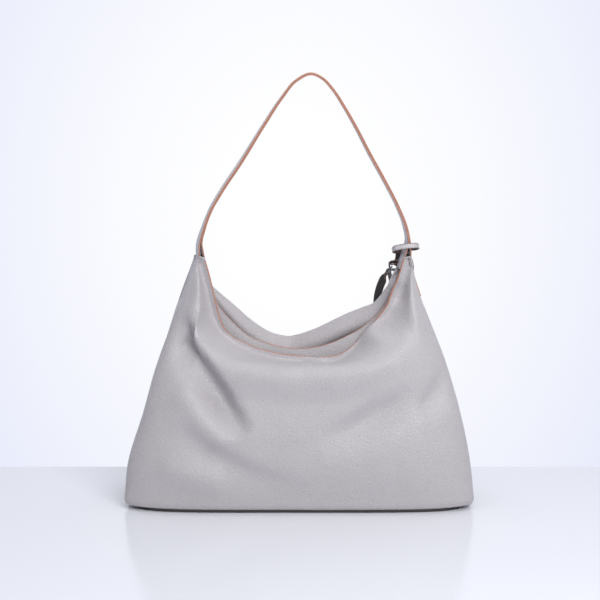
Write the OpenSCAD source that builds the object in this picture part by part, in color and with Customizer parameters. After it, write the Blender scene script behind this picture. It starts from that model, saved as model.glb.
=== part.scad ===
// Slouchy hobo bag standing on its base, with a standing shoulder strap and a hanging wrist leash.
// X is across the bag, -Y is the front, +Z is up, and the origin is the middle of the base's underside.

/* [Bag body] */
// Width of the base, corner to corner
base_width = 402; // [392:1:412]
// Depth of the base at its middle
base_depth = 146; // [138:1:152]
// Height of the gusset tips, where the strap's tabs are sewn
tip_height = 276; // [272:1:276]
// Height of the front rim at its lowest point
front_rim_low = 172; // [166:1:176]
// Height of the back rim at its lowest point
back_rim_low = 186; // [182:1:190]
// Height of the middle pouch's top edge at its lowest point
pouch_rim_low = 177; // [172:1:179]
// Thickness of the body leather
leather = 1.8; // [1.6:0.1:2.2]

/* [Strap] */
// Width of the shoulder strap
strap_width = 26; // [24:1:26]
// Thickness of one of the strap's two plies
ply = 1.6; // [1.2:0.1:1.8]
// Height of the strap's highest point
strap_top = 497; // [485:1:510]
// Height of the axis that the strap falls forward and back about
strap_axis_z = 320; // [318:1:326]

/* [Leash] */
// Width of the leash's leather strip
leash_width = 10; // [8:1:11]
// Thickness of the leash's leather strip
leash_ply = 1.8; // [1.4:0.1:2]
// Length of the wrist loop that hangs behind the bag
loop_length = 132; // [110:1:140]
// Radius of the wire of the snap hook
wire_r = 1.1; // [1:0.05:1.2]

/* [Inner fittings] */
// Length of the zip in the wall pocket
zip_length = 170; // [150:5:180]
// Radius of the magnetic snap's discs
snap_r = 8; // [7:0.5:9]

/* [Hidden] */

$fn = 48;
taupe = [0.71, 0.70, 0.72];
shade = [0.62, 0.61, 0.63];
charcoal = [0.24, 0.23, 0.23];
gunmetal = [0.33, 0.34, 0.36];

half_w = base_width / 2;
half_d = base_depth / 2;
// The seams, where front and back panel meet the gussets, end at these places across the bag
seam_tip_left = -119;
seam_tip_right = 129;
// The rims end this far inside the seams
tip_thick = 8;
tip_half_y = strap_width / 2;
rim_mid_x = 20;
cols = 28;
rows = 16;
gusset_cols = 8;
clear = 0.3;

function lerp(a, b, t) = a + (b - a) * t;
function bez(a, b, c, d, t) =
    a * pow(1 - t, 3) + b * 3 * t * pow(1 - t, 2) + c * 3 * t * t * (1 - t) + d * pow(t, 3);
function unit(v) = v / norm(v);
function side_of(u) = u < 0 ? -1 : 1;
function seam_tip(u) = u < 0 ? seam_tip_left : seam_tip_right;

// A rim across the bag: it leaves both tips and sags to its low point, by a power law on each side
function rim_x(u, mid) = lerp(mid, seam_tip(u), abs(u));
function rim_t(x, mid) =
    min(1, abs(x - mid) / (abs(seam_tip(x < mid ? -1 : 1) - mid) - tip_thick));
function rim_z(x, mid, low, power_left, power_right) =
    low + (tip_height - low) * pow(rim_t(x, mid), x < mid ? power_left : power_right);

// Front panel: each column runs up from the base, over the belly, and turns in to the rim
function base_y(u) = half_d * (1 - 0.26 * pow(abs(u), 5));
function front_rim(u) = let (x = rim_x(u, rim_mid_x))
    [x, -lerp(30, tip_half_y, pow(rim_t(x, rim_mid_x), 2)), rim_z(x, rim_mid_x, front_rim_low, 4.8, 2.4)];
function front_point(u, v) = let (
        foot = [half_w * u, -base_y(u), 0],
        top = front_rim(u),
        e = pow(abs(u), 4),
        belly = [half_w * u * lerp(0.985, 1.0, e), -base_y(u) - lerp(14, 2, e), lerp(62, 85, e)],
        shoulder = [lerp(top[0] * 1.08, lerp(half_w * u, top[0], 0.62), e), lerp(-64, -32, e),
            lerp(top[2] - 5, 190, e)])
    bez(foot, belly, shoulder, top, v);

// Back panel: the same shape with its own rim
back_mid_x = -20;
function back_rim(u) = let (x = rim_x(u, back_mid_x))
    [x, lerp(30, tip_half_y, pow(rim_t(x, back_mid_x), 2)), rim_z(x, back_mid_x, back_rim_low, 1.8, 2.2)];
function back_point(u, v) = let (
        foot = [half_w * u, base_y(u), 0],
        top = back_rim(u),
        e = pow(abs(u), 4),
        belly = [half_w * u * lerp(0.985, 1.0, e), base_y(u) + lerp(10, 2, e), lerp(62, 85, e)],
        shoulder = [lerp(top[0] * 1.08, lerp(half_w * u, top[0], 0.62), e), lerp(54, 32, e),
            lerp(top[2] - 8, 190, e)])
    bez(foot, belly, shoulder, top, v);

// Gussets: they butt against the inside of the two panels and pull in a little between them
gusset_fold = 9;
function gusset_point(side, s, v) = let (
        gap = leather + clear,
        a = front_point(side, v) + [0, gap, 0],
        b = back_point(side, v) - [0, gap, 0],
        pull = gusset_fold * sin(180 * s) * sin(180 * pow(v, 0.7)))
    lerp(a, b, s) - [side * pull, 0, 0];

// A closed sheet from a grid of outer points and a grid of inner points
module sheet(outer, inner) {
    nu = len(outer) - 1;
    nv = len(outer[0]) - 1;
    w = nv + 1;
    half = (nu + 1) * w;
    points = concat([for (c = outer) each c], [for (c = inner) each c]);
    faces = concat(
        [for (i = [0:nu - 1], j = [0:nv - 1]) each
            [[i * w + j, i * w + j + 1, (i + 1) * w + j], [(i + 1) * w + j, i * w + j + 1, (i + 1) * w + j + 1]]],
        [for (i = [0:nu - 1], j = [0:nv - 1]) let (k = half + i * w + j) each
            [[k, k + w, k + 1], [k + w, k + w + 1, k + 1]]],
        [for (i = [0:nu - 1]) let (a = i * w, b = (i + 1) * w) each
            [[a, b, half + a], [b, half + b, half + a]]],
        [for (i = [0:nu - 1]) let (a = i * w + nv, b = (i + 1) * w + nv) each
            [[a, half + a, b], [b, half + a, half + b]]],
        [for (j = [0:nv - 1]) each [[j, half + j, j + 1], [j + 1, half + j, half + j + 1]]],
        [for (j = [0:nv - 1]) let (a = nu * w + j) each
            [[a, a + 1, half + a], [a + 1, half + a + 1, half + a]]]);
    polyhedron(points, faces, convexity = 6);
}

// Inward shift of a panel's inner face: level at the foot, so that the foot stays on the ground
function inset(pu, pv, thick, turn, v) = let (
        n = unit(cross(pu, pv)) * turn,
        flat = v < 0.001 ? unit([n[0], n[1], 0]) : n)
    flat * thick;

module panel(sign) {
    h = 0.004;
    function p(u, v) = sign < 0 ? front_point(u, v) : back_point(u, v);
    us = [for (i = [0:cols]) let (t = i / cols * 2 - 1) sign * -side_of(t) * (1 - pow(1 - abs(t), 1.35))];
    outer = [for (u = us) [for (j = [0:rows]) p(u, j / rows)]];
    inner = [for (u = us) [for (j = [0:rows]) let (
            v = j / rows,
            pu = p(min(1, u + h), v) - p(max(-1, u - h), v),
            pv = p(u, min(1, v + h)) - p(u, max(0, v - h)))
        p(u, v) + inset(pu, pv, leather, sign, v)]];
    sheet(outer, inner);
}

module gusset(side) {
    h = 0.01;
    function p(s, v) = gusset_point(side, s, v);
    ss = [for (i = [0:gusset_cols]) side < 0 ? i / gusset_cols : 1 - i / gusset_cols];
    outer = [for (s = ss) [for (j = [0:rows]) p(s, j / rows)]];
    inner = [for (s = ss) [for (j = [0:rows]) let (
            v = j / rows,
            ps = p(min(1, s + h), v) - p(max(0, s - h), v),
            pv = p(s, min(1, v + h)) - p(s, max(0, v - h)))
        p(s, v) + inset(ps, pv, leather, side, v)]];
    sheet(outer, inner);
}

module front_panel() { color(taupe) panel(-1); }
module back_panel() { color(taupe) panel(1); }
module gusset_left() { color(shade) gusset(-1); }
module gusset_right() { color(shade) gusset(1); }

// Base: a leather panel inside the ring of walls, and a stiff board on it
function base_outline(inset_by) = let (
        us = [for (i = [0:20]) let (t = i / 10 - 1) side_of(t) * (1 - pow(1 - abs(t), 1.6))])
    concat([for (u = us) [(half_w - inset_by) * u, -base_y(u) + inset_by]],
        [for (u = us) [-(half_w - inset_by) * u, base_y(u) - inset_by]]);
base_thick = 2;
board_thick = 2;
module base_panel() {
    color(taupe) linear_extrude(base_thick) polygon(base_outline(leather + 2 * clear));
}
module base_board() {
    color(charcoal) translate([0, 0, base_thick]) linear_extrude(board_thick) polygon(base_outline(10));
}

// Middle pouch: two flat plies that hang between the tips, joined by a binding round three sides
pouch_gap = 9;
pouch_ply = 1.6;
pouch_bottom = 72;
pouch_left = -106;
pouch_right = 116;
pouch_top = 262;
pouch_mid = 1;
function pouch_rim(x, drop) = let (t = (x - pouch_mid) / ((x < pouch_mid ? pouch_left : pouch_right) - pouch_mid))
    pouch_rim_low - drop + (pouch_top - pouch_rim_low) * pow(t, x < pouch_mid ? 2.9 : 2.4);
function pouch_outline(drop) = concat([[pouch_left - 14, pouch_bottom], [pouch_right + 14, pouch_bottom]],
    [for (i = [0:24]) let (x = lerp(pouch_right, pouch_left, i / 24)) [x, pouch_rim(x, drop)]]);
module flat_ply(y, thick, points) {
    translate([0, y + thick, 0]) rotate([90, 0, 0]) linear_extrude(thick) polygon(points);
}
module pouch_front_ply() { color(taupe) flat_ply(-pouch_gap / 2 - pouch_ply, pouch_ply, pouch_outline(0)); }
module pouch_back_ply() { color(taupe) flat_ply(pouch_gap / 2, pouch_ply, pouch_outline(8)); }
module pouch_binding() {
    binding = 4;
    color(shade) difference() {
        flat_ply(-pouch_gap / 2, pouch_gap, [[pouch_left - 14, pouch_bottom], [pouch_right + 14, pouch_bottom],
            [pouch_right + 4, 230], [pouch_left - 4, 230]]);
        flat_ply(-pouch_gap / 2 - 1, pouch_gap + 2, [[pouch_left - 14 + binding, pouch_bottom + binding],
            [pouch_right + 14 - binding, pouch_bottom + binding],
            [pouch_right + 4 - binding, 231], [pouch_left - 4 + binding, 231]]);
    }
}

// Magnetic snap between the pouch's plies, with a washer behind each half
snap_z = 150;
snap_x = 4;
module snap_disc(y, r, t) { translate([snap_x, y + t, snap_z]) rotate([90, 0, 0]) cylinder(r = r, h = t); }
module snap_stud() {
    color(gunmetal) union() {
        snap_disc(-pouch_gap / 2, snap_r, 1.6);
        snap_disc(-pouch_gap / 2 + 1.6, 2.6, 1.2);
    }
}
module snap_socket() {
    color(gunmetal) difference() {
        snap_disc(pouch_gap / 2 - 2, snap_r, 2);
        snap_disc(pouch_gap / 2 - 2.1, 3, 1.3);
    }
}
module snap_washers() {
    color(gunmetal) {
        snap_disc(-pouch_gap / 2 - pouch_ply - 0.8, snap_r - 1, 0.8);
        snap_disc(pouch_gap / 2 + pouch_ply, snap_r - 1, 0.8);
    }
}

// Wall pocket with a zip, standing just inside the back panel
wall_y = 48;
zip_z = 102;
wall_top = 114;
wall_half = 104;
module wall_box(y, thick, x0, x1, z0, z1) { translate([x0, y, z0]) cube([x1 - x0, thick, z1 - z0]); }
module zip_pocket_wall() {
    color(taupe) difference() {
        wall_box(wall_y, 1.4, -wall_half, wall_half, 12, wall_top);
        wall_box(wall_y - 1, 4, -zip_length / 2 - 3, zip_length / 2 + 3, zip_z - 6, zip_z + 6);
    }
}
module zip_pocket_lining() {
    color(charcoal) difference() {
        wall_box(wall_y + 2.6, 8, -wall_half + 2, wall_half - 2, 14, wall_top - 1);
        wall_box(wall_y + 1, 8.6, -wall_half + 3, wall_half - 3, 15, wall_top - 2);
    }
}
module zip_tapes() {
    color(charcoal) for (s = [-1, 1])
        wall_box(wall_y + 1.4, 0.8, -zip_length / 2 - 6, zip_length / 2 + 6, zip_z + (s < 0 ? -10 : 1),
            zip_z + (s < 0 ? -1 : 10));
}
teeth_pitch = 4;
module zip_teeth() {
    color(gunmetal) for (i = [0:zip_length / teeth_pitch - 1])
        wall_box(wall_y + 0.4, 1, -zip_length / 2 + i * teeth_pitch, -zip_length / 2 + i * teeth_pitch + 2.6,
            zip_z - 1.8, zip_z + 1.8);
}
module zip_stops() {
    color(gunmetal) for (x = [-zip_length / 2 - 2.6, zip_length / 2 + 0.6])
        wall_box(wall_y + 0.2, 1.2, x, x + 2, zip_z - 2.6, zip_z + 2.6);
}
// The slider starts at the closed end
slider_x = zip_length / 2 - 8;
pull_y = wall_y - 3.4;
module zip_slider() {
    color(gunmetal) difference() {
        union() {
            wall_box(wall_y - 1.8, 1.6, slider_x - 5, slider_x + 5, zip_z - 4, zip_z + 4);
            for (z = [zip_z - 3.5, zip_z + 2.3]) wall_box(wall_y - 0.3, 1.4, slider_x - 5, slider_x + 5, z, z + 1.2);
            wall_box(pull_y - 1.6, 3.4, slider_x - 3.6, slider_x - 2, zip_z - 2.2, zip_z + 2.2);
            wall_box(pull_y - 1.6, 3.4, slider_x + 2, slider_x + 3.6, zip_z - 2.2, zip_z + 2.2);
        }
        translate([slider_x - 5, pull_y, zip_z]) rotate([0, 90, 0]) cylinder(r = 0.75, h = 10);
    }
}
module zip_pull() {
    color(gunmetal) difference() {
        union() {
            translate([slider_x - 3.9, pull_y, zip_z]) rotate([0, 90, 0]) cylinder(r = 0.7, h = 7.8);
            wall_box(pull_y - 0.6, 1.2, slider_x - 1.6, slider_x + 1.6, zip_z - 14, zip_z);
            wall_box(pull_y - 0.6, 1.2, slider_x - 3, slider_x + 3, zip_z - 20, zip_z - 13);
        }
        translate([slider_x, pull_y + 1, zip_z - 16.5]) rotate([90, 0, 0]) cylinder(r = 1.6, h = 2);
    }
}
module pull_tab() {
    color(taupe) for (y = [pull_y - 2.2, pull_y + 0.6])
        wall_box(y, 1.6, slider_x - 3.4, slider_x + 3.4, zip_z - 38, zip_z - 15);
    color(taupe) wall_box(pull_y - 0.6, 1.2, slider_x - 3.4, slider_x + 3.4, zip_z - 38, zip_z - 20.3);
}
// Open slip pocket on the inside of the front
module slip_pocket() {
    color(charcoal) difference() {
        wall_box(-50, 7, -70, 70, 14, 112);
        wall_box(-48.8, 5, -68.8, 68.8, 15.2, 113);
    }
}

// Strap: a route of its own across the bag, swept as ribbons. Its ends stay fixed below the fold line,
// where each ply runs down one side of a tip, and the arch above the line falls forward and back.
strap_foot = strap_axis_z - strap_width / 2;
stub_top = strap_foot - 0.4;
strap_route = [[-112.5, strap_foot], [-107, 324], [-88, 361], [-67, 394], [-39, 439], [-19, 469],
    [-2, 488], [15, strap_top - ply], [28, 489], [38, 477], [64, 436], [81, 404], [98, 374], [115, 341],
    [122, 322], [125.5, strap_foot]];
steps = 3;
function catmull(a, b, c, d, t) = 0.5 * (2 * b + (c - a) * t + (2 * a - 5 * b + 4 * c - d) * t * t
    + (3 * b - a - 3 * c + d) * t * t * t);
function smooth_route(r) = let (last = len(r) - 1)
    concat([for (i = [0:last - 1], k = [0:steps - 1])
        catmull(r[max(0, i - 1)], r[i], r[i + 1], r[min(last, i + 2)], k / steps)], [r[last]]);
function route_normal(r, i) = let (d = r[min(len(r) - 1, i + 1)] - r[max(0, i - 1)]) unit([-d[1], d[0]]);
twist_left = 12;
twist_right = 7;
function twist(p) = (p[0] < 15 ? twist_left : twist_right)
    * max(0, min(1, (strap_top - p[1]) / 120)) * max(0, min(1, (p[1] - strap_foot - 2) / 30));
// Half width of the arch: full, and rounded off about the strap's axis at both ends
function half_width(z) = let (below = max(0, strap_axis_z - z))
    sqrt(max(0.3, pow(strap_width / 2, 2) - below * below));
module ribbon(r, from, to, rounded, half) {
    ring = [for (i = [0:len(r) - 1]) let (
            n = route_normal(r, i),
            a = rounded ? twist(r[i]) : 0,
            w = rounded ? half_width(r[i][1]) : half)
        [for (q = [[from, -1], [to, -1], [to, 1], [from, 1]]) let (p = r[i] + n * q[0])
            [p[0] - sin(a) * w * q[1], cos(a) * w * q[1], p[1]]]];
    count = len(ring);
    faces = concat(
        [for (i = [0:count - 2], k = [0:3]) let (a = i * 4 + k, b = i * 4 + (k + 1) % 4) each
            [[a, a + 4, b], [b, a + 4, b + 4]]],
        [[0, 1, 2], [0, 2, 3]],
        [[count * 4 - 2, count * 4 - 3, count * 4 - 4], [count * 4 - 1, count * 4 - 2, count * 4 - 4]]);
    polyhedron([for (q = ring) each q], faces, convexity = 6);
}
arch_route = smooth_route(strap_route);
module strap_outer_ply() { color(taupe) ribbon(arch_route, clear / 2, ply, true, 0); }
module strap_inner_ply() { color(shade) ribbon(arch_route, -ply, -clear / 2, true, 0); }

// Fixed ends of the strap's plies: the outer tabs lie on the gussets, the inner ones go inside the tips
inner_half = strap_width / 2 - leather - 0.6;
left_outer_route = smooth_route([[-136.9, 232], [-129.7, 254], [-122.2, tip_height], [-117.5, 289],
    [-112.5, stub_top]]);
right_outer_route = smooth_route([[145, 232], [138.4, 254], [131.8, tip_height], [128.6, 289],
    [125.5, stub_top]]);
left_inner_route = smooth_route([[seam_tip_left + tip_thick - ply, tip_height - 34],
    [seam_tip_left + tip_thick - ply, tip_height], [-112, 289], [-112.5, stub_top]]);
right_inner_route = smooth_route([[seam_tip_right - tip_thick + ply, tip_height - 34],
    [seam_tip_right - tip_thick + ply, tip_height], [124.5, 289], [125.5, stub_top]]);
module tab_left_outer() { color(taupe) ribbon(left_outer_route, 0, ply, false, strap_width / 2); }
module tab_right_outer() { color(taupe) ribbon(right_outer_route, -ply, 0, false, strap_width / 2); }
module tab_left_inner() { color(shade) ribbon(left_inner_route, -ply, 0, false, inner_half); }
module tab_right_inner() { color(shade) ribbon(right_inner_route, 0, ply, false, inner_half); }

// Stiffener sewn inside each tip, between the gusset and the inner tab
filler_height = 12;
module tip_filler(x) {
    color(shade) translate([x, -inner_half, tip_height - filler_height])
        cube([tip_thick - leather - ply - 1.2, 2 * inner_half, filler_height]);
}
module tip_filler_left() { tip_filler(seam_tip_left + leather + 0.7); }
module tip_filler_right() { tip_filler(seam_tip_right - tip_thick + ply + 0.5); }

// Leash: a band looped round the strap's right end, with a tail that carries the snap hook
band_z = 297;
band_x = 123.5;
band_half_x = 14;
band_half_y = strap_width / 2 + 2.4;
band_height = 6.5;
band_tilt = 8;
module leash_band() {
    color(shade) translate([band_x, 0, band_z]) rotate([0, -band_tilt, 0])
        linear_extrude(band_height, center = true) difference() {
            square([2 * band_half_x, 2 * band_half_y], center = true);
            square([2 * (band_half_x - leash_ply), 2 * (band_half_y - leash_ply)], center = true);
        }
}
// The leash's own frame: origin at the tail's tunnel, Z back up the leash
leash_at = [113, 19, 275];
lean_out = 30;
lean_across = 38;
module leash_frame() { translate(leash_at) rotate([lean_out, lean_across, 0]) children(); }
tunnel_r = 1.5;
tunnel_wall = 1.8;
tunnel_length = 3;
module leash_tail() {
    color(charcoal) difference() {
        union() {
            translate([leash_at[0] - 2, band_half_y + 0.1, leash_at[2] + 1.5]) cube([8, leash_ply, 24]);
            leash_frame() rotate([0, 90, 0]) cylinder(r = tunnel_r + tunnel_wall, h = tunnel_length, center = true);
        }
        leash_frame() rotate([0, 90, 0]) cylinder(r = tunnel_r, h = 30, center = true);
    }
}
// Snap hook: an open ring with a sprung gate, and an eye below it for the wrist loop
ring_r = 5;
nose_angle = 28;
pivot_angle = -48;
ear_from = -70;
eye_top = 2 * ring_r + 1.6;
eye_drop = 5.2;
eye_bar = eye_top + eye_drop;
eye_half = 6.2;
pivot = [ring_r * cos(pivot_angle), 0, -ring_r + ring_r * sin(pivot_angle)];
nose = [ring_r * cos(nose_angle), 0, -ring_r + ring_r * sin(nose_angle)];
pin_r = 0.55;
gate_half = 0.75;
ear_y = 0.9;
ear_thick = 0.8;
module bar_y(r, half) { rotate([90, 0, 0]) cylinder(r = r, h = 2 * half, center = true); }
module hook_body() {
    color(gunmetal) leash_frame() difference() {
        union() {
            translate([0, 0, -ring_r]) rotate([90, 0, 0]) rotate([0, 0, nose_angle])
                rotate_extrude(angle = 360 + ear_from - nose_angle) translate([ring_r, 0]) circle(r = wire_r);
            for (y = [-ear_y, ear_y + ear_thick]) translate([0, y, 0]) rotate([90, 0, 0])
                linear_extrude(ear_thick) polygon([[1.0, -2 * ring_r - 0.9], [2.6, -2 * ring_r - 0.4],
                    [pivot[0] + 1.1, pivot[2]], [pivot[0], pivot[2] + 1.1], [pivot[0] - 1.3, pivot[2] + 0.2],
                    [1.2, -2 * ring_r + 1.1]]);
            for (z = [-eye_top, -eye_bar]) translate([0, 0, z]) bar_y(1, eye_half + 1);
            for (y = [-eye_half, eye_half]) translate([0, y, -eye_bar]) cylinder(r = 1, h = eye_drop);
        }
        translate(pivot) bar_y(pin_r, 5);
    }
}
gate_reach = norm(nose - pivot);
gate_lean = atan2(nose[0] - pivot[0], nose[2] - pivot[2]);
module hook_gate() {
    color(gunmetal) leash_frame() translate(pivot) difference() {
        union() {
            bar_y(1.2, gate_half);
            rotate([0, gate_lean, 0]) cylinder(r = gate_half - 0.1, h = gate_reach - wire_r - 0.2);
        }
        bar_y(pin_r + 0.05, 3);
    }
}
module gate_pin() { color(gunmetal) leash_frame() translate(pivot) bar_y(pin_r, ear_y + ear_thick + 0.2); }

// Wrist loop: a closed strip that hangs on the eye's bar, narrow at the top and round at the bottom
loop_top_r = 1.5;
loop_low_r = 16;
loop_reach = loop_length - loop_low_r - leash_ply;
function teardrop(r1, r2, reach) = let (f = asin((r2 - r1) / reach), n = 10)
    concat([for (i = [0:n]) let (a = -f + i / n * (180 + 2 * f)) [r1 * cos(a), r1 * sin(a)]],
        [for (i = [0:2 * n]) let (a = 180 + f + i / (2 * n) * (180 - 2 * f))
            [r2 * cos(a), -reach + r2 * sin(a)]]);
module wrist_loop() {
    color(charcoal) leash_frame() translate([0, 0, -eye_bar]) rotate([0, -lean_across, 0]) rotate([90, 0, 0])
        linear_extrude(leash_width, center = true) difference() {
            polygon(teardrop(loop_top_r + leash_ply, loop_low_r + leash_ply, loop_reach));
            polygon(teardrop(loop_top_r, loop_low_r, loop_reach));
        }
}

front_panel();
back_panel();
gusset_left();
gusset_right();
base_panel();
base_board();
pouch_front_ply();
pouch_back_ply();
pouch_binding();
snap_stud();
snap_socket();
snap_washers();
zip_pocket_wall();
zip_pocket_lining();
zip_tapes();
zip_teeth();
zip_stops();
zip_slider();
zip_pull();
pull_tab();
slip_pocket();
tab_left_outer();
tab_left_inner();
tab_right_outer();
tab_right_inner();
tip_filler_left();
tip_filler_right();
strap_outer_ply();
strap_inner_ply();
leash_band();
leash_tail();
hook_body();
hook_gate();
gate_pin();
wrist_loop();
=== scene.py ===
"""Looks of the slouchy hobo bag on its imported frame: leather, painted edges, strap, leash and pockets."""
import math

import bpy
import numpy as np
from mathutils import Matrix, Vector


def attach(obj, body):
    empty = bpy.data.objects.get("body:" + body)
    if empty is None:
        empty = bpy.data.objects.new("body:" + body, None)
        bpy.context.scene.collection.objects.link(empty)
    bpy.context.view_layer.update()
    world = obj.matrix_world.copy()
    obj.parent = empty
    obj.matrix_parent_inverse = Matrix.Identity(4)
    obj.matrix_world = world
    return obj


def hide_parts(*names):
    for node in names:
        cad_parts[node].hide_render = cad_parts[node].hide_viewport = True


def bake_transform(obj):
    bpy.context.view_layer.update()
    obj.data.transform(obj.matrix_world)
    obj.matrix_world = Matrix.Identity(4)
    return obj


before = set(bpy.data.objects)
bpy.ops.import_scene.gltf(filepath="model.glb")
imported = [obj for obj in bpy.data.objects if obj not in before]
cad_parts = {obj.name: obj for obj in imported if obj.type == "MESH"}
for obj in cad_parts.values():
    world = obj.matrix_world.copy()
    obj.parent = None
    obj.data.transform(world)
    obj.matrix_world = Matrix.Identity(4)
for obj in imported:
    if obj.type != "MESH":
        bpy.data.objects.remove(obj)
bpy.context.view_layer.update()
MM = 0.001

# ---------------------------------------------------------------- camera, lights and floor
CAMERA_DISTANCE = 2000
CAMERA_HEIGHT = 520
AIM = (1, 0, 234.5)
LENS = 104.4
TABLE_END = 150


def look_at(obj, place, target):
    """Puts obj at place and points its -Z axis at target, both in millimetres."""
    obj.location = Vector(place) * MM
    direction = Vector(target) * MM - obj.location
    obj.rotation_euler = direction.to_track_quat("-Z", "Y").to_euler()


def link(obj):
    bpy.context.scene.collection.objects.link(obj)
    return obj


def make_camera():
    data = bpy.data.cameras.new("camera")
    data.lens = LENS
    data.sensor_width = 36
    data.clip_end = 50
    camera = link(bpy.data.objects.new("camera", data))
    look_at(camera, (AIM[0], -CAMERA_DISTANCE, CAMERA_HEIGHT), AIM)
    bpy.context.scene.camera = camera


def area_light(name, place, target, size, power, colour=(1, 1, 1)):
    data = bpy.data.lights.new(name, "AREA")
    data.shape = "RECTANGLE"
    data.size, data.size_y = size[0] * MM, size[1] * MM
    data.energy = power
    data.color = colour
    look_at(link(bpy.data.objects.new(name, data)), place, target)


def make_world():
    world = bpy.data.worlds.new("studio")
    bpy.context.scene.world = world
    world.use_nodes = True
    nodes, links = world.node_tree.nodes, world.node_tree.links
    nodes.clear()
    out = nodes.new("ShaderNodeOutputWorld")
    seen = nodes.new("ShaderNodeBackground")
    seen.inputs["Color"].default_value = (0.90, 0.915, 1.0, 1)
    seen.inputs["Strength"].default_value = 1.0
    lit = nodes.new("ShaderNodeBackground")
    lit.inputs["Color"].default_value = (0.95, 0.96, 1.0, 1)
    lit.inputs["Strength"].default_value = 0.45
    path = nodes.new("ShaderNodeLightPath")
    mix = nodes.new("ShaderNodeMixShader")
    links.new(path.outputs["Is Camera Ray"], mix.inputs[0])
    links.new(lit.outputs[0], mix.inputs[1])
    links.new(seen.outputs[0], mix.inputs[2])
    links.new(mix.outputs[0], out.inputs[0])


def make_floor():
    """A glossy pale table top that ends behind the object, and a glowing backdrop with a bright middle."""
    s = Shader("table")
    s.colour(s.mix(s.noise(2.0, 2), (0.735, 0.75, 0.80), (0.755, 0.765, 0.81)))
    s.rough(0.16)
    s.set(specular_ior_level=0.35)
    half, near, far = 1600, -1500, TABLE_END
    corners = [(-half, near, 0), (half, near, 0), (half, far, 0), (-half, far, 0)]
    table = mesh_object("table", corners, [(0, 1, 2, 3)], [s.material], [0])
    s = Shader("backdrop")
    glow = s.nodes.new("ShaderNodeEmission")
    blend = s.nodes.new("ShaderNodeTexGradient")
    blend.gradient_type = "SPHERICAL"
    scale = s.nodes.new("ShaderNodeMapping")
    scale.inputs["Location"].default_value = (0, 0, -0.073)
    scale.inputs["Scale"].default_value = (0.824, 0, 0.659)
    s.links.new(s.place, scale.inputs["Vector"])
    s.links.new(scale.outputs[0], blend.inputs["Vector"])
    tones = [(0.15, (0.79, 0.815, 0.96)), (0.62, (0.955, 0.96, 1.0)), (0.85, (1, 1, 1))]
    s.links.new(s.ramp(blend.outputs["Fac"], tones), glow.inputs["Color"])
    s.links.new(glow.outputs[0], s.out.inputs[0])
    wide, low, high, place = 5000, -2500, 5500, 2400
    corners = [(-wide, place, low), (wide, place, low), (wide, place, high), (-wide, place, high)]
    backdrop = mesh_object("backdrop", corners, [(0, 1, 2, 3)], [s.material], [0])


def make_stage():
    make_camera()
    make_world()
    make_floor()
    bpy.context.scene.view_settings.view_transform = "Standard"
    area_light("key", (600, -1600, 1150), (0, 0, 120), (900, 600), 24.5)
    area_light("top", (0, -100, 1500), (0, 0, 150), (1300, 700), 6)


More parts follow.
